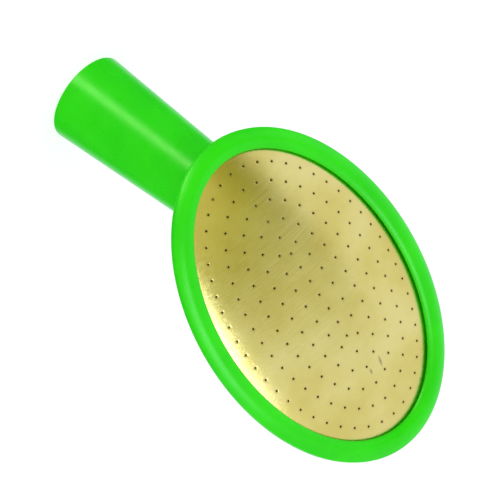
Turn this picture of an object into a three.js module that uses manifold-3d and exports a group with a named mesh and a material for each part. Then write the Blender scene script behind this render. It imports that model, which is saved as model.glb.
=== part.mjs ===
// Oval watering rose: a tapered push-on socket that opens into a shallow oval bowl, closed by a domed and
// perforated brass face. The face lies on a rubber gasket and is clamped by a moulded bezel ring, whose
// tongue sits in a groove in the body's flange.
//
// Row frame, in millimetres: the origin is the centre of the socket's open end, +Z runs up the socket's
// axis towards the head, and the face looks to the front (-Y) and up. X = 0 is the plane of symmetry.
//
// Head frame, in which the pieces are drawn: x runs along the oval's long axis, away from the socket,
// y runs across it, z is the face's outward normal, and z = 0 is the top of the brass sheet at its edge.

import * as THREE from "three";
import { ParametricGeometry } from "three/addons/geometries/ParametricGeometry.js";
import { mergeVertices } from "three/addons/utils/BufferGeometryUtils.js";
import Module from "manifold-3d";

// ---- driving dimensions, mm ----

// Clearance between pieces that bear on each other or fit into each other.
const clearance = 0.3;

// Face: the oval window in the bezel, the dome that fills it, and the sheet.
const windowLength = 106.9;
const windowWidth = 73.3;
const sheetThickness = 0.5;
const domeCrown = 5.5;
const domePower = 2.6; // above 2, the dome is flatter on top and steeper near its edge
const domeReach = 1.6; // how far the dome runs on under the bezel before the sheet goes flat
const sheetLap = 3.2; // how far the sheet's flat edge reaches under the bezel

// Holes: oval rings round a centre line, each ring with eight more holes than the one inside it.
const holeDiameter = 0.8;
const holeMargin = 4.35; // from the outer ring to the window's edge
const ringCount = 5;
const innerRingHoles = 16;
const holesMorePerRing = 8;
const centreLineHoles = 7;
const punchReach = 12; // from the sheet to the tip of the slim pyramid that makes a hole
const punchStart = 2; // from the sheet to the pyramid's base, on the inside

// Bezel ring: a convex top between an undercut inner lip and a rounded shoulder.
const bezelInnerHeight = 2.05;
const bezelLipBottom = 1.55;
const bezelInnerRound = 0.4;
const bezelCrownHeight = 2.5;
const bezelShoulderHeight = 1.2;
const bezelShoulderRound = 0.4;
const bezelSideHeight = 0.75;
const tongueWidth = 0.9;
const tongueDepth = 1.3;

// Flange of the body, and the gasket on its ledge.
const seatRib = 0.9; // between the sheet's edge and the groove for the tongue
const outerWall = 1.3; // outside the groove
const flangeSide = 0.6; // height of the flange's outer wall
const flangeRound = 2.3; // how far its rounded underside reaches inwards
const flangeDrop = 1.2; // how steeply that leaves the wall: the height of the curve's handle
const ledgeThickness = 2;
const ledgeInset = 0.2; // from the window's edge to the ledge's inner edge
const gasketThickness = 0.8;
const gasketInset = 0.6; // from the window's edge to the gasket's inner edge
const gasketSetback = 0.2; // from the sheet's edge to the gasket's outer edge

// Socket and bowl.
const socketAngle = 42.1; // degrees between the socket's axis and the plane of the face
const axisFromEnd = 28.15; // from the window's near end to where the axis meets the plane of the face
const socketReach = 84.3; // from that point along the axis to the open end
const mouthDiameter = 31.6;
const socketTaper = 5.94; // degrees, between opposite sides of the cone
const wall = 2;
const neckReach = 24; // from the plane of the face along the axis to the end of the bowl
const mouthChamfer = 0.5;
const bowlSteepness = 1.1; // fall of the bowl's side per unit inwards, where it leaves the flange
const bowlPull = 0.3; // share of its length over which the bowl keeps its direction at each end

// Fineness of the faceted solids.
const ovalSegments = 60;
const sheetSegments = 40;
const domeRings = 5;
const domeRingSpacing = 0.7; // below 1, the rings crowd towards the dome's edge
const holeSides = 6;
const loftSteps = 8;
const curveSteps = 3;

// ---- values that follow from them ----

const halfLength = windowLength / 2;
const halfWidth = windowWidth / 2;
const domeLength = halfLength + domeReach;
const domeWidth = halfWidth + domeReach;
const outerRingLength = halfLength - holeMargin;
const outerRingWidth = halfWidth - holeMargin;
const gasketOuter = sheetLap - gasketSetback;
const gasketTop = -sheetThickness - clearance;
const gasketBottom = gasketTop - gasketThickness;
const ledgeTop = gasketBottom - clearance;
const ledgeBottom = ledgeTop - ledgeThickness;
const seatWall = sheetLap + clearance;
const grooveInner = seatWall + seatRib;
const tongueInner = grooveInner + clearance;
const tongueOuter = tongueInner + tongueWidth;
const grooveOuter = tongueOuter + clearance;
const grooveBottom = -tongueDepth - clearance;
const rimWidth = grooveOuter + outerWall;

const axis = new THREE.Vector3(1, 0, 0).applyAxisAngle(
  new THREE.Vector3(0, 1, 0), Math.PI - THREE.MathUtils.degToRad(socketAngle));
const across = new THREE.Vector3(0, 1, 0);
const under = new THREE.Vector3().crossVectors(axis, across); // towards the underside of the socket
const axisStart = new THREE.Vector3(axisFromEnd - halfLength, 0, 0);
const taperSlope = Math.tan(THREE.MathUtils.degToRad(socketTaper / 2));

const wasm = await Module();
wasm.setup();

// ---- helpers ----

// A point of an oval that lies `inset` outside the window's edge, at angle `turn`, at height z.
function ovalPoint(inset, z, turn) {
  return new THREE.Vector3(
    (halfLength + inset) * Math.cos(turn), (halfWidth + inset) * Math.sin(turn), z);
}

// A point of the socket's circle at `reach` along its axis.
function socketPoint(reach, radius, turn) {
  return axisStart.clone()
    .addScaledVector(axis, reach)
    .addScaledVector(under, radius * Math.cos(turn))
    .addScaledVector(across, radius * Math.sin(turn));
}

function socketRadius(reach) {
  return mouthDiameter / 2 - (socketReach - reach) * taperSlope;
}

// A closed skin through a loop of rings, each a function of the angle. The last ring joins the first.
function skinOf(rings) {
  const geometry = new ParametricGeometry((u, v, target) => {
    const ring = rings[Math.round(v * rings.length) % rings.length];
    const step = Math.round(u * ovalSegments) % ovalSegments;
    target.copy(ring((step / ovalSegments) * 2 * Math.PI));
  }, ovalSegments, rings.length);
  return facingOut(welded(geometry));
}

// The geometry with positions only and its shared vertices merged.
function welded(geometry) {
  geometry.deleteAttribute("normal");
  geometry.deleteAttribute("uv");
  return mergeVertices(geometry, 1e-4);
}

// The geometry with its faces turned round, if they point inwards.
function facingOut(geometry) {
  if (solidOf(geometry).volume() < 0) {
    const index = geometry.index.array;
    for (let i = 0; i < index.length; i += 3) {
      [index[i + 1], index[i + 2]] = [index[i + 2], index[i + 1]];
    }
  }
  return geometry;
}

function solidOf(geometry) {
  return new wasm.Manifold(new wasm.Mesh({
    numProp: 3,
    vertProperties: new Float32Array(geometry.attributes.position.array),
    triVerts: new Uint32Array(geometry.index.array),
  }));
}

function geometryOf(solid) {
  const { vertProperties, triVerts } = solid.getMesh();
  const geometry = new THREE.BufferGeometry();
  geometry.setAttribute("position", new THREE.BufferAttribute(vertProperties, 3));
  geometry.setIndex(new THREE.BufferAttribute(triVerts, 1));
  return geometry;
}

function piece(name, geometry, colour, roughness, metalness) {
  geometry.computeVertexNormals();
  const material = new THREE.MeshStandardMaterial({ color: colour, roughness, metalness });
  const mesh = new THREE.Mesh(geometry, material);
  mesh.name = name;
  return mesh;
}

// Rings that sweep a flat outline (inset, z) round the oval.
function ovalRings(outline) {
  return outline.getPoints(curveSteps).map((point) => (turn) => ovalPoint(point.x, point.y, turn));
}

// ---- bezel ring: an undercut lip that clears the dome, a convex top, a short side, and the tongue ----

function bezelGeometry() {
  const middle = rimWidth / 2;
  const shoulder = rimWidth - bezelShoulderRound;
  // The handle of the top's curve stands twice as far above the chord of its ends as the crown does.
  const top = 2 * bezelCrownHeight - (bezelInnerHeight + bezelShoulderHeight) / 2;
  const slope = (bezelShoulderHeight - top) / (shoulder - middle);
  const outline = new THREE.Path();
  outline.moveTo(domeReach + clearance, clearance);
  outline.lineTo(0, bezelLipBottom);
  outline.lineTo(0, bezelInnerHeight - bezelInnerRound);
  outline.quadraticCurveTo(0, bezelInnerHeight, bezelInnerRound, bezelInnerHeight);
  outline.quadraticCurveTo(middle, top, shoulder, bezelShoulderHeight);
  outline.quadraticCurveTo(
    rimWidth, bezelShoulderHeight + slope * bezelShoulderRound, rimWidth, bezelSideHeight);
  outline.lineTo(rimWidth, clearance);
  outline.lineTo(tongueOuter, clearance);
  outline.lineTo(tongueOuter, -tongueDepth);
  outline.lineTo(tongueInner, -tongueDepth);
  outline.lineTo(tongueInner, clearance);
  return skinOf(ovalRings(outline));
}

// ---- gasket: a flat oval ring of rubber ----

function gasketGeometry() {
  const outline = new THREE.Path();
  outline.moveTo(gasketInset, gasketTop);
  outline.lineTo(gasketOuter, gasketTop);
  outline.lineTo(gasketOuter, gasketBottom);
  outline.lineTo(gasketInset, gasketBottom);
  return skinOf(ovalRings(outline));
}

// ---- brass face: a domed sheet with a flat edge, pierced square to its slope ----

function domeHeight(x, y) {
  const rho = Math.hypot(x / domeLength, y / domeWidth);
  return rho < 1 ? domeCrown * (1 - rho ** domePower) : 0;
}

// Directions of the dome's outward normal at a point.
function domeNormal(x, y) {
  const step = 0.01;
  const slopeX = (domeHeight(x + step, y) - domeHeight(x - step, y)) / (2 * step);
  const slopeY = (domeHeight(x, y + step) - domeHeight(x, y - step)) / (2 * step);
  return new THREE.Vector3(-slopeX, -slopeY, 1).normalize();
}

// Centres of the holes on one oval, the same arc length apart, starting on its long axis.
function ringCentres(a, b, count) {
  const oval = new THREE.EllipseCurve(0, 0, a, b);
  oval.arcLengthDivisions = 720;
  return Array.from({ length: count }, (_, i) => oval.getPointAt(i / count));
}

function holeCentres() {
  const lineEnd = outerRingLength - outerRingWidth;
  const centres = Array.from({ length: centreLineHoles }, (_, i) =>
    new THREE.Vector2(lineEnd * (2 * i / (centreLineHoles - 1) - 1), 0));
  for (let ring = 1; ring <= ringCount; ring++) {
    const reach = outerRingWidth * ring / ringCount;
    const count = innerRingHoles + (ring - 1) * holesMorePerRing;
    centres.push(...ringCentres(lineEnd + reach, reach, count));
  }
  return centres;
}

// The sheet before piercing: a lathe profile whose round plan is stretched into the oval.
function sheetGeometry() {
  const top = Array.from({ length: domeRings + 1 }, (_, i) => {
    const rho = (i / domeRings) ** domeRingSpacing;
    return new THREE.Vector2(rho * domeWidth, domeHeight(rho * domeLength, 0));
  });
  const bottom = top.map((p) => new THREE.Vector2(p.x, p.y - sheetThickness));
  const edge = halfWidth + sheetLap;
  const profile = [
    ...bottom, new THREE.Vector2(edge, -sheetThickness), new THREE.Vector2(edge, 0), ...top.reverse(),
  ];
  const geometry = new THREE.LatheGeometry(profile, sheetSegments);
  geometry.rotateX(Math.PI / 2);
  const position = geometry.attributes.position;
  for (let i = 0; i < position.count; i++) {
    const radius = Math.hypot(position.getX(i), position.getY(i));
    const stretch = radius > domeWidth
      ? (radius - domeWidth + domeLength) / radius
      : domeLength / domeWidth;
    position.setX(i, position.getX(i) * stretch);
  }
  return facingOut(welded(geometry));
}

// The tapered punch that makes a hole: a slim pyramid, whose middle height has the hole's own width.
function punch() {
  const length = punchStart + punchReach;
  const base = (holeDiameter / 2) * length / punchReach;
  return welded(new THREE.ConeGeometry(base, length, holeSides).translate(0, length / 2 - punchStart, 0));
}

function brassGeometry() {
  const up = new THREE.Vector3(0, 1, 0);
  const punches = holeCentres().map((centre) => {
    const turn = new THREE.Quaternion().setFromUnitVectors(up, domeNormal(centre.x, centre.y));
    const middle = domeHeight(centre.x, centre.y) - sheetThickness / 2;
    return solidOf(punch().applyQuaternion(turn).translate(centre.x, centre.y, middle));
  });
  return geometryOf(solidOf(sheetGeometry()).subtract(wasm.Manifold.union(punches)));
}

// ---- body: flange, bowl and socket in one skin, with a wall of even thickness ----

// A ring of the bowl, from the oval under the flange (share 0) to the neck's circle (share 1). `inset` is
// the oval's distance outside the window's edge, and `thinner` is taken off the neck's radius.
function bowlRing(inset, thinner, share) {
  return (turn) => {
    const start = ovalPoint(inset, ledgeBottom, turn);
    const end = socketPoint(neckReach, socketRadius(neckReach) - thinner, turn);
    const pull = start.distanceTo(end) * bowlPull;
    const leave = new THREE.Vector3(-Math.cos(turn), -Math.sin(turn), -bowlSteepness).normalize();
    const first = start.clone().addScaledVector(leave, pull);
    const second = end.clone().addScaledVector(axis, -pull);
    return new THREE.CubicBezierCurve3(start, first, second, end).getPoint(share);
  };
}

function bodyGeometry() {
  const shares = Array.from({ length: loftSteps + 1 }, (_, i) => i / loftSteps);
  const outside = shares.map((share) => bowlRing(ledgeInset + wall, 0, share));
  const inside = shares.map((share) => bowlRing(ledgeInset, wall, share)).reverse();
  const circle = (reach, thinner) => (turn) => socketPoint(reach, socketRadius(reach) - thinner, turn);

  const flange = new THREE.Path();
  flange.moveTo(rimWidth, 0);
  flange.lineTo(rimWidth, -flangeSide);
  flange.quadraticCurveTo(
    rimWidth, -flangeSide - flangeDrop, rimWidth - flangeRound, ledgeBottom);

  const seat = new THREE.Path();
  seat.moveTo(ledgeInset, ledgeTop);
  seat.lineTo(seatWall, ledgeTop);
  seat.lineTo(seatWall, 0);
  seat.lineTo(grooveInner, 0);
  seat.lineTo(grooveInner, grooveBottom);
  seat.lineTo(grooveOuter, grooveBottom);
  seat.lineTo(grooveOuter, 0);

  return skinOf([
    ...ovalRings(flange),
    ...outside,
    circle(socketReach - mouthChamfer, 0),
    circle(socketReach, mouthChamfer),
    circle(socketReach, wall - mouthChamfer),
    circle(socketReach - mouthChamfer, wall),
    ...inside,
    ...ovalRings(seat),
  ]);
}

// ---- assembly ----

const green = 0x35dc12;
const head = new THREE.Group();
head.add(
  piece("rose_body", bodyGeometry(), green, 0.35, 0),
  piece("bezel_ring", bezelGeometry(), green, 0.35, 0),
  piece("brass_face", brassGeometry(), 0xd6c064, 0.35, 1),
  piece("face_gasket", gasketGeometry(), 0x1c1c1c, 0.9, 0),
);
head.position.copy(socketPoint(socketReach, 0, 0)).negate();

const tilted = new THREE.Group();
tilted.rotation.y = THREE.MathUtils.degToRad(socketAngle - 90);
tilted.add(head);

const rose = new THREE.Group();
rose.rotation.z = Math.PI / 2;
rose.add(tilted);

export default rose;
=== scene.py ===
# Oval watering rose, standing on the open end of its socket.
from math import cos, pi, radians, sin, tan

import bpy
import numpy as np
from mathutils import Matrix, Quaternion, Vector
from mathutils.geometry import delaunay_2d_cdt


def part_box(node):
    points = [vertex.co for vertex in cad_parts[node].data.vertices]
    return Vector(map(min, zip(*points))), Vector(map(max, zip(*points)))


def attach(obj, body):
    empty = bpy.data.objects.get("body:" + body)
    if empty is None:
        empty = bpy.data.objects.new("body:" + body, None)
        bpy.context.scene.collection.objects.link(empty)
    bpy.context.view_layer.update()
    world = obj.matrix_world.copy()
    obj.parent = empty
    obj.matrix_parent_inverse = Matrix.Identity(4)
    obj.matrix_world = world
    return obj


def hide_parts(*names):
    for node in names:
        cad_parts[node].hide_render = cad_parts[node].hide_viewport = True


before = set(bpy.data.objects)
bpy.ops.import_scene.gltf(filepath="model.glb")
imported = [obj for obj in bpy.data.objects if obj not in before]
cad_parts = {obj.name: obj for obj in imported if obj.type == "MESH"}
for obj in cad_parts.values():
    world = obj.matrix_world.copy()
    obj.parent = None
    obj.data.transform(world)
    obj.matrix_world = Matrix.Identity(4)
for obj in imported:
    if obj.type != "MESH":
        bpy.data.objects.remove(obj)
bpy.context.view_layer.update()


# ---------------------------------------------------------------------------------------------
# Rose body: socket, bowl and flange moulded in one from bright green polypropylene.
# The socket is tapered so that it jams on the spout. It opens into a shallow oval bowl, whose
# flange carries the seat for the gasket and a groove for the bezel's tongue. Wall 2 mm.
# ---------------------------------------------------------------------------------------------

MM = 0.001

# Head frame: x runs along the oval's long axis, away from the socket, y across it, and z is the
# outward normal of the face, 0 at the top of the brass sheet's flat edge.
SOCKET_ANGLE = radians(42.1)  # between the socket's axis and the plane of the face
HEAD_X = Vector((0, sin(SOCKET_ANGLE), cos(SOCKET_ANGLE)))
HEAD_Y = Vector((-1, 0, 0))
HEAD_Z = HEAD_X.cross(HEAD_Y)
SHEET_THICKNESS = 0.5
SHEET_LAP = 3.2  # how far the sheet's flat edge reaches under the bezel
face_low, face_high = (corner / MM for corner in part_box("brass_face"))
HEAD_ORIGIN = (face_low + face_high) / 2 + HEAD_Z * SHEET_THICKNESS / 2

# The oval window in the bezel, through which the face shows, and the rim round it.
HALF_WIDTH = face_high.x - SHEET_LAP
HALF_LENGTH = (face_high.z - face_low.z - SHEET_THICKNESS * HEAD_Z.z) / HEAD_X.z / 2 - SHEET_LAP
RIM_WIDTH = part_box("rose_body")[1].x / MM - HALF_WIDTH

AXIS = np.array((-cos(SOCKET_ANGLE), 0, -sin(SOCKET_ANGLE)))  # from the head to the open end
UNDER = np.array((sin(SOCKET_ANGLE), 0, -cos(SOCKET_ANGLE)))
ACROSS = np.array((0, 1, 0))
AXIS_FROM_END = 28.15  # from the window's end by the socket to where the axis meets the face's plane
AXIS_START = np.array((AXIS_FROM_END - HALF_LENGTH, 0, 0))
SOCKET_REACH = 84.3  # from there to the open end
MOUTH_RADIUS = 15.8
TAPER = tan(radians(2.97))
WALL = 2
NECK_REACH = 24  # where the bowl has become the round neck
BOWL_STEEPNESS = 1.1  # how steeply the bowl leaves the flange
BOWL_PULL = 0.3  # how far its two handles reach, as a share of its length
LEDGE_BOTTOM = -3.9  # underside of the flange
SEGMENTS = 288

turns = np.linspace(0, 2 * pi, SEGMENTS, endpoint=False)


def oval_ring(inset, z):
    """A ring `inset` outside the window's edge, at height z."""
    return np.stack((
        (HALF_LENGTH + inset) * np.cos(turns),
        (HALF_WIDTH + inset) * np.sin(turns),
        np.full(SEGMENTS, float(z)),
    ), axis=1)


def socket_ring(reach, thinner):
    """A ring of the socket, `thinner` inside its outer surface."""
    radius = MOUTH_RADIUS - (SOCKET_REACH - reach) * TAPER - thinner
    return AXIS_START + reach * AXIS + radius * (
        np.outer(np.cos(turns), UNDER) + np.outer(np.sin(turns), ACROSS))


def bezier(points, share):
    """A point, or a ring of points, of the Bezier curve with these handles."""
    points = list(points)
    while len(points) > 1:
        points = [a + (b - a) * share for a, b in zip(points, points[1:])]
    return points[0]


def bowl_ring(inset, thinner, share):
    """A ring of the bowl, from the oval under the flange (0) to the round neck (1)."""
    start = oval_ring(inset, LEDGE_BOTTOM)
    end = socket_ring(NECK_REACH, thinner)
    pull = np.linalg.norm(end - start, axis=1, keepdims=True) * BOWL_PULL
    leave = np.stack((-np.cos(turns), -np.sin(turns), np.full(SEGMENTS, -BOWL_STEEPNESS)), axis=1)
    leave /= np.linalg.norm(leave, axis=1, keepdims=True)
    return bezier((start, start + leave * pull, end - AXIS * pull, end), share)


def piece(name, vertices, faces, material, sharp_angle=50):
    """A named mesh in the row frame, from vertices in the head frame, in millimetres."""
    to_row = np.array((HEAD_X, HEAD_Y, HEAD_Z))
    placed = (np.asarray(vertices) @ to_row + np.array(HEAD_ORIGIN)) * MM
    mesh = bpy.data.meshes.new(name)
    mesh.from_pydata(placed.tolist(), [], faces)
    mesh.materials.append(material)
    mesh.shade_smooth()
    mesh.set_sharp_from_angle(angle=radians(sharp_angle))
    made = bpy.data.objects.new(name, mesh)
    bpy.context.scene.collection.objects.link(made)
    return made


def skin(name, rings, material):
    """A closed skin through a loop of rings, whose last ring joins the first."""
    count = len(rings)
    faces = []
    for r in range(count):
        for s in range(SEGMENTS):
            t = (s + 1) % SEGMENTS
            q = (r + 1) % count
            faces.append((r * SEGMENTS + s, q * SEGMENTS + s, q * SEGMENTS + t, r * SEGMENTS + t))
    return piece(name, np.concatenate(rings), faces, material)


def new_material(name):
    """A material, its nodes, its links and its shader."""
    material = bpy.data.materials.new(name)
    material.use_nodes = True
    nodes = material.node_tree.nodes
    return material, nodes, material.node_tree.links, nodes["Principled BSDF"]


def noise(nodes, links, scale, detail=3, stretch=(1, 1, 1)):
    """Noise over the piece, in metres, with a scale of its own along each axis."""
    place = nodes.new("ShaderNodeTexCoord")
    mapping = nodes.new("ShaderNodeMapping")
    mapping.inputs["Scale"].default_value = stretch
    texture = nodes.new("ShaderNodeTexNoise")
    texture.inputs["Scale"].default_value = scale
    texture.inputs["Detail"].default_value = detail
    links.new(place.outputs["Object"], mapping.inputs["Vector"])
    links.new(mapping.outputs["Vector"], texture.inputs["Vector"])
    return texture.outputs["Fac"]


def ramp(nodes, links, source, stops):
    """A colour ramp over a value, from (position, colour) stops."""
    node = nodes.new("ShaderNodeValToRGB")
    elements = node.color_ramp.elements
    while len(elements) < len(stops):
        elements.new(0.5)
    for element, (position, colour) in zip(elements, stops):
        element.position = position
        element.color = (*colour, 1)
    links.new(source, node.inputs["Fac"])
    return node.outputs["Color"]


def grey(value):
    return (value, value, value)


def green_plastic():
    """Glossy moulded polypropylene with a faint skin of flow marks."""
    material, nodes, links, shader = new_material("green_plastic")
    cloud = noise(nodes, links, scale=55, detail=4)
    colour = ramp(nodes, links, cloud, [(0.3, (0.012, 0.67, 0.001)), (0.7, (0.022, 0.77, 0.002))])
    links.new(colour, shader.inputs["Base Color"])
    patches = noise(nodes, links, scale=240, detail=5)
    sheen = ramp(nodes, links, patches, [(0.3, grey(0.26)), (0.7, grey(0.33))])
    links.new(sheen, shader.inputs["Roughness"])
    pimples = noise(nodes, links, scale=900, detail=4)
    bump = nodes.new("ShaderNodeBump")
    bump.inputs["Strength"].default_value = 0.07
    bump.inputs["Distance"].default_value = 0.00012
    links.new(pimples, bump.inputs["Height"])
    links.new(bump.outputs["Normal"], shader.inputs["Normal"])
    shader.inputs["IOR"].default_value = 1.49
    shader.inputs["Specular IOR Level"].default_value = 0.36
    shader.inputs["Specular Tint"].default_value = (0.75, 1, 0.5, 1)
    return material


GREEN = green_plastic()

# The flange, from the groove's outer wall over its side and round to its underside.
FLANGE_EDGE = 0.25  # radius of its upper edge
FLANGE_SIDE = 0.6  # depth of its upright side
FLANGE_SIDE_MIDDLE = 0.4
FLANGE_DROP = 1.2  # how straight the curve below the side starts
FLANGE_ROUND = 2.3  # how far in that curve ends
FLANGE_CURVE_END = 0.9  # the curve stops at this share
FLANGE_TURN = ((-0.04, 0.03), (0.12, 0))  # and turns flat here, measured from its end
flange_top = [
    oval_ring(RIM_WIDTH - FLANGE_EDGE + FLANGE_EDGE * sin(a), -FLANGE_EDGE + FLANGE_EDGE * cos(a))
    for a in np.linspace(0, pi / 2, 5)]
flange_side = [oval_ring(RIM_WIDTH, -FLANGE_SIDE_MIDDLE)]
flange_low = [
    bezier((oval_ring(RIM_WIDTH, -FLANGE_SIDE), oval_ring(RIM_WIDTH, -FLANGE_SIDE - FLANGE_DROP),
            oval_ring(RIM_WIDTH - FLANGE_ROUND, LEDGE_BOTTOM)), share)
    for share in np.linspace(0, FLANGE_CURVE_END, 10)]
flange_low += [oval_ring(RIM_WIDTH - FLANGE_ROUND - w, LEDGE_BOTTOM + z) for w, z in FLANGE_TURN]

# The bowl, blended into the flange's underside by a small fillet.
BOWL_OUTSIDE = 2.2  # where it leaves the flange, outside the window's edge
FILLET = 1.1
FILLET_SHARE = 0.05  # share of the bowl that the fillet takes
fillet = [
    bezier((oval_ring(BOWL_OUTSIDE + FILLET, LEDGE_BOTTOM), oval_ring(BOWL_OUTSIDE, LEDGE_BOTTOM),
            bowl_ring(BOWL_OUTSIDE, 0, FILLET_SHARE)), share)
    for share in np.linspace(0, 1, 7)]
bowl = [bowl_ring(BOWL_OUTSIDE, 0, share) for share in np.linspace(FILLET_SHARE, 1, 34)[1:]]

# The socket, its rounded lip, and the way back inside.
LIP = 0.5  # radius of the lip's two edges
LEDGE_IN = 0.2  # inner edge of the gasket's ledge, where the bowl's inside ends
lip_turns = np.linspace(0, pi / 2, 6)
socket = [socket_ring(reach, 0) for reach in np.linspace(NECK_REACH, SOCKET_REACH - LIP, 24)[1:]]
lip_out = [socket_ring(SOCKET_REACH - LIP + LIP * sin(a), LIP - LIP * cos(a)) for a in lip_turns[1:]]
lip_in = [socket_ring(SOCKET_REACH - LIP + LIP * cos(a), WALL - LIP + LIP * sin(a)) for a in lip_turns]
bore = [socket_ring(reach, WALL) for reach in np.linspace(SOCKET_REACH - LIP, NECK_REACH, 24)[1:]]
bowl_inside = [bowl_ring(LEDGE_IN, WALL, share) for share in np.linspace(1, 0, 30)[1:]]

# The seat: the gasket's ledge, the rib beside the sheet's edge, and the groove for the tongue.
LEDGE_TOP = -1.9
SEAT_WALL = 3.5  # outside the gasket and the sheet
RIB_TOP = -0.05
GROOVE_IN, GROOVE_OUT, GROOVE_FLOOR = 4.4, 5.9, -1.6
seat = [oval_ring(w, z) for w, z in (
    (LEDGE_IN, LEDGE_TOP), (SEAT_WALL, LEDGE_TOP), (SEAT_WALL, RIB_TOP), (GROOVE_IN, RIB_TOP),
    (GROOVE_IN, GROOVE_FLOOR), (GROOVE_OUT, GROOVE_FLOOR), (GROOVE_OUT, 0))]

rose_body = skin("moulded_body", [
    *flange_top, *flange_side, *flange_low, *fillet, *bowl, *socket, *lip_out, *lip_in, *bore,
    *bowl_inside, *seat], GREEN)
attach(rose_body, "root")
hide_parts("rose_body")


# ---------------------------------------------------------------------------------------------
# Face gasket: a flat oval ring of black rubber, cut from sheet.
# It lies on the ledge inside the flange and seals the underside of the brass face.
# ---------------------------------------------------------------------------------------------

GASKET_IN, GASKET_OUT = 0.6, 3.0
GASKET_TOP, GASKET_BOTTOM = -0.55, -1.85
GASKET_EDGE = 0.15  # radius of its four edges


def rounded(corners, radius, steps):
    """A closed outline (inset, z) through these corners, each one rounded."""
    corners = [np.array(corner) for corner in corners]
    outline = []
    for i, corner in enumerate(corners):
        before = corners[i - 1] - corner
        after = corners[(i + 1) % len(corners)] - corner
        start = corner + before / np.linalg.norm(before) * radius
        end = corner + after / np.linalg.norm(after) * radius
        outline += [bezier((start, corner, end), k / steps) for k in range(steps + 1)]
    return outline


def rubber():
    """Matt black rubber with a fine grain."""
    material, nodes, links, shader = new_material("gasket_rubber")
    grain = noise(nodes, links, scale=1500, detail=4)
    colour = ramp(nodes, links, grain, [(0.3, grey(0.010)), (0.8, grey(0.030))])
    links.new(colour, shader.inputs["Base Color"])
    bump = nodes.new("ShaderNodeBump")
    bump.inputs["Strength"].default_value = 0.4
    bump.inputs["Distance"].default_value = 0.0001
    links.new(grain, bump.inputs["Height"])
    links.new(bump.outputs["Normal"], shader.inputs["Normal"])
    shader.inputs["Roughness"].default_value = 0.85
    return material


gasket_outline = rounded([
    (GASKET_IN, GASKET_TOP), (GASKET_OUT, GASKET_TOP),
    (GASKET_OUT, GASKET_BOTTOM), (GASKET_IN, GASKET_BOTTOM)], GASKET_EDGE, steps=3)
gasket = skin("rubber_gasket", [oval_ring(w, z) for w, z in gasket_outline], rubber())
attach(gasket, "root")
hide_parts("face_gasket")


# ---------------------------------------------------------------------------------------------
# Face: a sheet of brass, pressed into a shallow dome, with a flat edge under the bezel.
# 167 holes are punched square to its slope, in ovals round a centre line. The sheet is brushed
# across the head and has a light tarnish and two small scuffs.
# ---------------------------------------------------------------------------------------------

DOME_CROWN = 5.5
DOME_POWER = 2.6  # how full the dome is towards its edge
DOME_REACH = 1.6  # how far it runs on under the bezel

# The pattern of holes: a centre line, and oval rings round it.
HOLE_MARGIN = 4.35  # from the outermost ring to the window's edge
RING_COUNT = 5
INNER_RING_HOLES = 16
HOLES_MORE_PER_RING = 8
CENTRE_LINE_HOLES = 7

# One hole, the edge that the punch draws in, and the tarnish that gathers round it.
HOLE_RADIUS = 0.36
HOLE_SIDES = 20
HOLE_DRAW = 0.03  # how far down the edge goes
STAIN_WIDTH = 0.35
STAIN_DEPTH = 0.8

# The scuffs: place along and across the head, length, and turn in degrees.
SCUFFS = [(32.0, 0.5, 2.6, -10), (31.5, 5.5, 5.0, -12)]
SCUFF_WIDTH = 1.4

# The points that the sheet is meshed from, besides the holes and the rim.
HOLE_COLLARS = (0.1, 0.3, 0.8)  # circles round each hole, this far outside it
EDGE_OVALS = (2.4, DOME_REACH, 0.8, 0, -0.5, -1.1, -1.9, -2.8)  # ovals, this far outside the window
OVAL_POINTS = 300
GRID_PITCH, GRID_ROW = 1.15, 0.866  # a triangular grid over the rest, and a row's height in it
GRID_MARGIN = 3.6
GRID_COLUMNS, GRID_ROWS = 60, 40  # on each side of the middle


def dome_height(x, y):
    """The sheet's upper surface above its flat edge."""
    rho = np.hypot(x / (HALF_LENGTH + DOME_REACH), y / (HALF_WIDTH + DOME_REACH))
    return DOME_CROWN * (1 - np.minimum(rho, 1) ** DOME_POWER)


def dome_normal(x, y):
    """The direction square to the sheet."""
    step = 0.01
    slope_x = (dome_height(x + step, y) - dome_height(x - step, y)) / (2 * step)
    slope_y = (dome_height(x, y + step) - dome_height(x, y - step)) / (2 * step)
    normal = np.stack((-slope_x, -slope_y, np.ones_like(slope_x)), axis=-1)
    return normal / np.linalg.norm(normal, axis=-1, keepdims=True)


def along_oval(a, b, count):
    """Points at equal distances along an oval, starting on its long axis."""
    angle = np.linspace(0, 2 * pi, 2881)
    x, y = a * np.cos(angle), b * np.sin(angle)
    length = np.concatenate(([0], np.cumsum(np.hypot(np.diff(x), np.diff(y)))))
    at = np.interp(np.arange(count) / count * length[-1], length, angle)
    return np.stack((a * np.cos(at), b * np.sin(at)), axis=1)


def hole_centres():
    """The middles of the 167 holes, seen square to the head."""
    ring_length, ring_width = HALF_LENGTH - HOLE_MARGIN, HALF_WIDTH - HOLE_MARGIN
    line_end = ring_length - ring_width
    line = np.linspace(-line_end, line_end, CENTRE_LINE_HOLES)
    centres = [np.stack((line, np.zeros(CENTRE_LINE_HOLES)), axis=1)]
    for ring in range(1, RING_COUNT + 1):
        reach = ring_width * ring / RING_COUNT
        count = INNER_RING_HOLES + (ring - 1) * HOLES_MORE_PER_RING
        centres.append(along_oval(line_end + reach, reach, count))
    return np.concatenate(centres)


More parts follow.
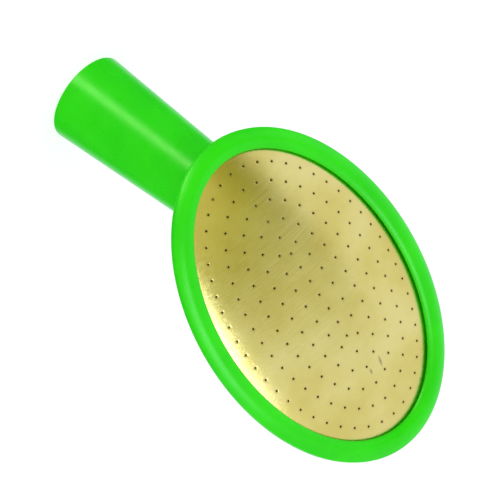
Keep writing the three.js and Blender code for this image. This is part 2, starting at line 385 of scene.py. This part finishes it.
def sheet_plan(centres):
    """The sheet's plan: its points, its triangles, its rim, and the points round each hole."""
    circle_turns = np.linspace(0, 2 * pi, HOLE_SIDES, endpoint=False)
    circle = np.stack((np.cos(circle_turns), np.sin(circle_turns)), axis=1)
    points, edges = [], []

    def closed_loop(loop):
        first = len(points)
        points.extend(loop)
        edges.extend((first + k, first + (k + 1) % len(loop)) for k in range(len(loop)))
        return list(range(first, first + len(loop)))

    rim = closed_loop(along_oval(HALF_LENGTH + SHEET_LAP, HALF_WIDTH + SHEET_LAP, OVAL_POINTS))
    holes = [closed_loop(centre + circle * HOLE_RADIUS) for centre in centres]
    for collar in HOLE_COLLARS:
        for centre in centres:
            points.extend(centre + circle * (HOLE_RADIUS + collar))
    for inset in EDGE_OVALS:
        points.extend(along_oval(HALF_LENGTH + inset, HALF_WIDTH + inset, OVAL_POINTS))
    grid_length, grid_width = HALF_LENGTH - GRID_MARGIN, HALF_WIDTH - GRID_MARGIN
    for row in range(-GRID_ROWS, GRID_ROWS + 1):
        for column in range(-GRID_COLUMNS, GRID_COLUMNS + 1):
            spot = np.array(((column + row % 2 / 2) * GRID_PITCH, row * GRID_PITCH * GRID_ROW))
            inside = np.hypot(spot[0] / grid_length, spot[1] / grid_width) < 1
            reach = np.hypot(*(centres - spot).T).min()
            if inside and reach > HOLE_RADIUS + HOLE_COLLARS[-1] + GRID_PITCH / 2:
                points.append(spot)
    flat = delaunay_2d_cdt([Vector(point) for point in points], edges, [], 0, 1e-6)
    plan = np.array([tuple(point) for point in flat[0]])
    middles = plan[np.array(flat[2])].mean(axis=1)
    nearest = np.array([np.hypot(*(centres - middle).T).min() for middle in middles])
    solid = [face for face, reach in zip(flat[2], nearest) if reach > HOLE_RADIUS]
    return plan, solid, rim, holes


def sheet_mesh():
    """The pierced sheet: a top and an underside from one plan, joined round the rim and the holes.

    With its points comes each one's distance from the middle of the nearest hole.
    """
    centres = hole_centres()
    plan, solid, rim, holes = sheet_plan(centres)
    x, y = plan.T
    normals = dome_normal(x, y)
    top = np.column_stack((x, y, dome_height(x, y)))

    # The punch draws the edge of each hole down a little on the outside.
    reach = np.array([np.hypot(*(centres - point).T).min() for point in plan])
    draw = HOLE_DRAW * np.clip(1 - (reach - HOLE_RADIUS) / HOLE_COLLARS[1], 0, 1) ** 2
    top[:, 2] -= draw
    under = top - normals * SHEET_THICKNESS
    under[:, 2] += draw
    vertices = np.concatenate((top, under))
    count = len(plan)
    faces = [tuple(face) for face in solid]
    faces += [tuple(count + corner for corner in reversed(face)) for face in solid]
    for loop, outward in [(rim, True), *((hole, False) for hole in holes)]:
        for a, b in zip(loop, loop[1:] + loop[:1]):
            wall = (a, b, count + b, count + a)
            faces.append(wall[::-1] if outward else wall)
    return vertices, faces, np.tile(reach, 2)


def brass():
    """Brushed sheet brass with a patchy tarnish. The grain runs across the head."""
    material, nodes, links, shader = new_material("brass_sheet")
    shader.inputs["Metallic"].default_value = 1
    shader.inputs["Anisotropic"].default_value = 0.7
    grain_line = nodes.new("ShaderNodeTangent")
    grain_line.direction_type = "UV_MAP"
    grain_line.uv_map = "plan"
    links.new(grain_line.outputs["Tangent"], shader.inputs["Tangent"])
    tarnish = noise(nodes, links, scale=42, detail=5)
    colour = ramp(nodes, links, tarnish, [
        (0.36, (0.65, 0.56, 0.14)), (0.5, (0.705, 0.62, 0.185)), (0.64, (0.75, 0.67, 0.23))])

    def stained(colour, mask, stain):
        """The colour, with the stain over it where the mask is 1."""
        mix = nodes.new("ShaderNodeMix")
        mix.data_type = "RGBA"
        links.new(mask, mix.inputs["Factor"])
        links.new(colour, mix.inputs["A"])
        mix.inputs["B"].default_value = (*stain, 1)
        return mix.outputs["Result"]

    # Brown tarnish in and around each punched hole.
    hole_edge = nodes.new("ShaderNodeAttribute")
    hole_edge.attribute_name = "hole_edge"
    colour = stained(colour, hole_edge.outputs["Fac"], (0.42, 0.29, 0.08))

    # Two short scuffs near the head's far end, each a soft-edged oval.
    for x, y, length, turn in SCUFFS:
        plan = nodes.new("ShaderNodeUVMap")
        plan.uv_map = "plan"
        stroke = nodes.new("ShaderNodeMapping")
        stroke.vector_type = "TEXTURE"
        stroke.inputs["Location"].default_value = (x * MM, y * MM, 0)
        stroke.inputs["Rotation"].default_value = (0, 0, radians(turn))
        stroke.inputs["Scale"].default_value = (length / 2 * MM, SCUFF_WIDTH / 2 * MM, 1)
        fade = nodes.new("ShaderNodeTexGradient")
        fade.gradient_type = "SPHERICAL"
        links.new(plan.outputs["UV"], stroke.inputs["Vector"])
        links.new(stroke.outputs["Vector"], fade.inputs["Vector"])
        colour = stained(colour, fade.outputs["Fac"], (0.30, 0.25, 0.11))
    links.new(colour, shader.inputs["Base Color"])

    # The brush's fine lines.
    grain = noise(nodes, links, scale=1, detail=4, stretch=(90, 2600, 2600))
    sheen = ramp(nodes, links, grain, [(0.3, grey(0.19)), (0.7, grey(0.27))])
    links.new(sheen, shader.inputs["Roughness"])
    bump = nodes.new("ShaderNodeBump")
    bump.inputs["Strength"].default_value = 0.35
    bump.inputs["Distance"].default_value = 0.0001
    links.new(grain, bump.inputs["Height"])
    links.new(bump.outputs["Normal"], shader.inputs["Normal"])
    return material


sheet_vertices, sheet_faces, hole_reach = sheet_mesh()
brass_face = piece("pierced_face", sheet_vertices, sheet_faces, brass(), sharp_angle=35)
plan_map = brass_face.data.uv_layers.new(name="plan")
for corner in brass_face.data.loops:
    plan_map.data[corner.index].uv = sheet_vertices[corner.vertex_index][:2] * MM
hole_edge = brass_face.data.attributes.new("hole_edge", "FLOAT", "POINT")
nearness = np.clip(1 - (hole_reach - HOLE_RADIUS) / STAIN_WIDTH, 0, 1)
hole_edge.data.foreach_set("value", nearness * STAIN_DEPTH)
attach(brass_face, "root")
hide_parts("brass_face")


# ---------------------------------------------------------------------------------------------
# Bezel: a ring moulded in the same green polypropylene, with a convex top and a thin lip that
# overhangs the edge of the face. Its tongue is pressed into the groove in the body's flange, and
# its foot clamps the brass on the gasket.
# ---------------------------------------------------------------------------------------------

BEZEL_FOOT = 0.12  # the fine seam left between the bezel and the flange
INNER_HEIGHT, CROWN_HEIGHT, SHOULDER_HEIGHT, SIDE_HEIGHT = 2.25, 2.7, 1.2, 0.75
LIP_BOTTOM, UNDERCUT = 0.95, 2.1  # height of the lip's underside, and how far in it is cut away
LIP_WIDTH, LIP_DIP, LIP_RISE = 0.3, 0.1, 0.35  # the small round at the lip's lower edge
INNER_ROUND, SHOULDER_ROUND, FOOT_ROUND = 0.9, 0.4, 0.25
TONGUE_IN, TONGUE_OUT, TONGUE_END = 4.55, 5.75, -1.4

# The convex top is one curve, so the rounds at its two ends start along its end slopes.
shoulder = RIM_WIDTH - SHOULDER_ROUND
crown_handle = 2 * CROWN_HEIGHT - (INNER_HEIGHT + SHOULDER_HEIGHT) / 2
inner_slope = (crown_handle - INNER_HEIGHT) / (RIM_WIDTH / 2 - INNER_ROUND)
shoulder_slope = (SHOULDER_HEIGHT - crown_handle) / (shoulder - RIM_WIDTH / 2)


def curve(*handles, steps):
    """Points (inset, z) of the Bezier curve with these handles."""
    handles = [np.array(handle, float) for handle in handles]
    return [bezier(handles, share) for share in np.linspace(0, 1, steps + 1)]


bezel_outline = [
    *curve((UNDERCUT, BEZEL_FOOT), (LIP_WIDTH, LIP_BOTTOM), steps=3)[:-1],
    *curve((LIP_WIDTH, LIP_BOTTOM), (0, LIP_BOTTOM + LIP_DIP), (0, LIP_BOTTOM + LIP_RISE), steps=4)[:-1],
    *curve((0, LIP_BOTTOM + LIP_RISE), (0, INNER_HEIGHT - inner_slope * INNER_ROUND),
           (INNER_ROUND, INNER_HEIGHT), steps=8)[:-1],
    *curve((INNER_ROUND, INNER_HEIGHT), (RIM_WIDTH / 2, crown_handle),
           (shoulder, SHOULDER_HEIGHT), steps=20)[:-1],
    *curve((shoulder, SHOULDER_HEIGHT), (RIM_WIDTH, SHOULDER_HEIGHT + shoulder_slope * SHOULDER_ROUND),
           (RIM_WIDTH, SIDE_HEIGHT), steps=10),
    *curve((RIM_WIDTH, BEZEL_FOOT + FOOT_ROUND), (RIM_WIDTH, BEZEL_FOOT),
           (RIM_WIDTH - FOOT_ROUND, BEZEL_FOOT), steps=4),
    *curve((TONGUE_OUT, BEZEL_FOOT), (TONGUE_OUT, TONGUE_END), steps=1),
    *curve((TONGUE_IN, TONGUE_END), (TONGUE_IN, BEZEL_FOOT), steps=1),
    np.array((SHEET_LAP, BEZEL_FOOT)),
]
bezel = skin("bezel", [oval_ring(w, z) for w, z in bezel_outline], GREEN)
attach(bezel, "root")
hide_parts("bezel_ring")


# ---------------------------------------------------------------------------------------------
# Bench, light and camera. The rose stands on a plain white bench in a white room, under one soft
# light. Two strip lights make the bright lines along the socket and at the edge of the brass.
# ---------------------------------------------------------------------------------------------

def bench():
    """A plain bench top that glows a little, like a light table, so that it stays white."""
    material, nodes, links, shader = new_material("bench_white")
    shader.inputs["Base Color"].default_value = (0.4, 0.4, 0.4, 1)
    shader.inputs["Emission Color"].default_value = (1, 1, 1, 1)
    shader.inputs["Emission Strength"].default_value = 0.7
    shader.inputs["Roughness"].default_value = 0.8
    shader.inputs["Specular IOR Level"].default_value = 0.1
    half = 4
    mesh = bpy.data.meshes.new("bench")
    mesh.from_pydata([(-half, -half, 0), (half, -half, 0), (half, half, 0), (-half, half, 0)],
                     [], [(0, 1, 2, 3)])
    mesh.materials.append(material)
    made = bpy.data.objects.new("bench", mesh)
    bpy.context.scene.collection.objects.link(made)
    return made


floor = bench()
floor.visible_glossy = False


def aimed(azimuth, elevation, roll):
    """The direction with this azimuth and elevation, and the turn of something aimed back from it."""
    azimuth, elevation, roll = radians(azimuth), radians(elevation), radians(roll)
    back = Vector((sin(azimuth) * cos(elevation), -cos(azimuth) * cos(elevation), sin(elevation)))
    return back, Quaternion(back, roll) @ back.to_track_quat("Z", "Y")


def softbox(name, direction, distance, width, height, brightness):
    """A rectangular light with an even brightness, aimed at the head."""
    back, turn = aimed(*direction)
    light = bpy.data.lights.new(name, "AREA")
    light.shape = "RECTANGLE"
    light.size = width
    light.size_y = height
    light.energy = brightness * pi * width * height
    made = bpy.data.objects.new(name, light)
    made.location = HEAD_ORIGIN * MM + back * distance
    made.rotation_mode = "QUATERNION"
    made.rotation_quaternion = turn
    made.visible_camera = False
    bpy.context.scene.collection.objects.link(made)
    return made


# The strips show only as gloss, and the key light only as diffuse light.
upper_strip = softbox("upper_strip", (38.1, 41.7, -26), distance=0.9, width=0.46, height=0.56, brightness=7)
lower_strip = softbox("lower_strip", (8, -29, 0), distance=0.9, width=0.26, height=0.7, brightness=7)
for strip in (upper_strip, lower_strip):
    strip.visible_diffuse = False
    strip.data.use_shadow = False
upper_strip.data.color = (0.6, 0.65, 1)  # cool, so that the brass turns it white
key = softbox("key", (0, 45, 0), distance=1.2, width=1.0, height=1.0, brightness=0.8)
key.visible_glossy = False


SCREEN_EDGE_ALONG, SCREEN_EDGE_ACROSS = 0.17, 0.55  # directions, along the head and across it
BEHIND = radians(27)  # azimuth, away from the front of the head


def white_room():
    """A white room, with a large olive screen on the socket's side, darkest along its edge."""
    world = bpy.data.worlds.new("white_room")
    world.use_nodes = True
    nodes, links = world.node_tree.nodes, world.node_tree.links
    place = nodes.new("ShaderNodeTexCoord")

    def along(direction):
        """How far the room's direction points along this one."""
        dot = nodes.new("ShaderNodeVectorMath")
        dot.operation = "DOT_PRODUCT"
        dot.inputs[1].default_value = direction
        links.new(place.outputs["Generated"], dot.inputs[0])
        return dot.outputs["Value"]

    def maths(operation, a, b):
        """A Math node over two values, each a number or another node's output."""
        node = nodes.new("ShaderNodeMath")
        node.operation = operation
        for entry, value in zip(node.inputs, (a, b)):
            if isinstance(value, float):
                entry.default_value = value
            else:
                links.new(value, entry)
        return node.outputs["Value"]

    # A ramp runs from 0 to 1, so what it reads is moved up by half.
    inside = maths("MINIMUM", maths("SUBTRACT", SCREEN_EDGE_ALONG, along(HEAD_X)),
                   maths("SUBTRACT", SCREEN_EDGE_ACROSS, along(HEAD_Y)))
    screen = ramp(nodes, links, maths("ADD", inside, 0.5), [
        (0.45, (1, 1, 1.2)), (0.53, (0.29, 0.31, 0.045)),
        (0.62, (0.44, 0.45, 0.10)), (0.8, (0.76, 0.74, 0.4))])
    links.new(screen, nodes["Background"].inputs["Color"])

    # Gloss sees through the bench: dark below the horizon in front, light behind.
    up = maths("ADD", along((0, 0, 1)), 0.5)
    above = ramp(nodes, links, up, [(0.26, grey(0.02)), (0.54, grey(1))])
    back = along((-sin(BEHIND), cos(BEHIND), 0))
    behind = ramp(nodes, links, back, [(0.5, grey(0)), (0.8, grey(1))])
    links.new(maths("MAXIMUM", above, behind), nodes["Background"].inputs["Strength"])
    bpy.context.scene.world = world


white_room()

CAMERA_AIM = Vector((0.0067, 0.0044, 0.0821))
CAMERA_DISTANCE = 1.0
CAMERA_DIRECTION = (27.31, 24.40, 127.13)  # azimuth, elevation and roll
CAMERA_LENS = 220.3

camera = bpy.data.objects.new("camera", bpy.data.cameras.new("camera"))
camera.data.lens = CAMERA_LENS
camera.rotation_mode = "QUATERNION"
back, camera.rotation_quaternion = aimed(*CAMERA_DIRECTION)
camera.location = CAMERA_AIM + back * CAMERA_DISTANCE
bpy.context.scene.collection.objects.link(camera)
bpy.context.scene.camera = camera
bpy.context.scene.view_settings.view_transform = "Standard"

bpy.context.view_layer.update()
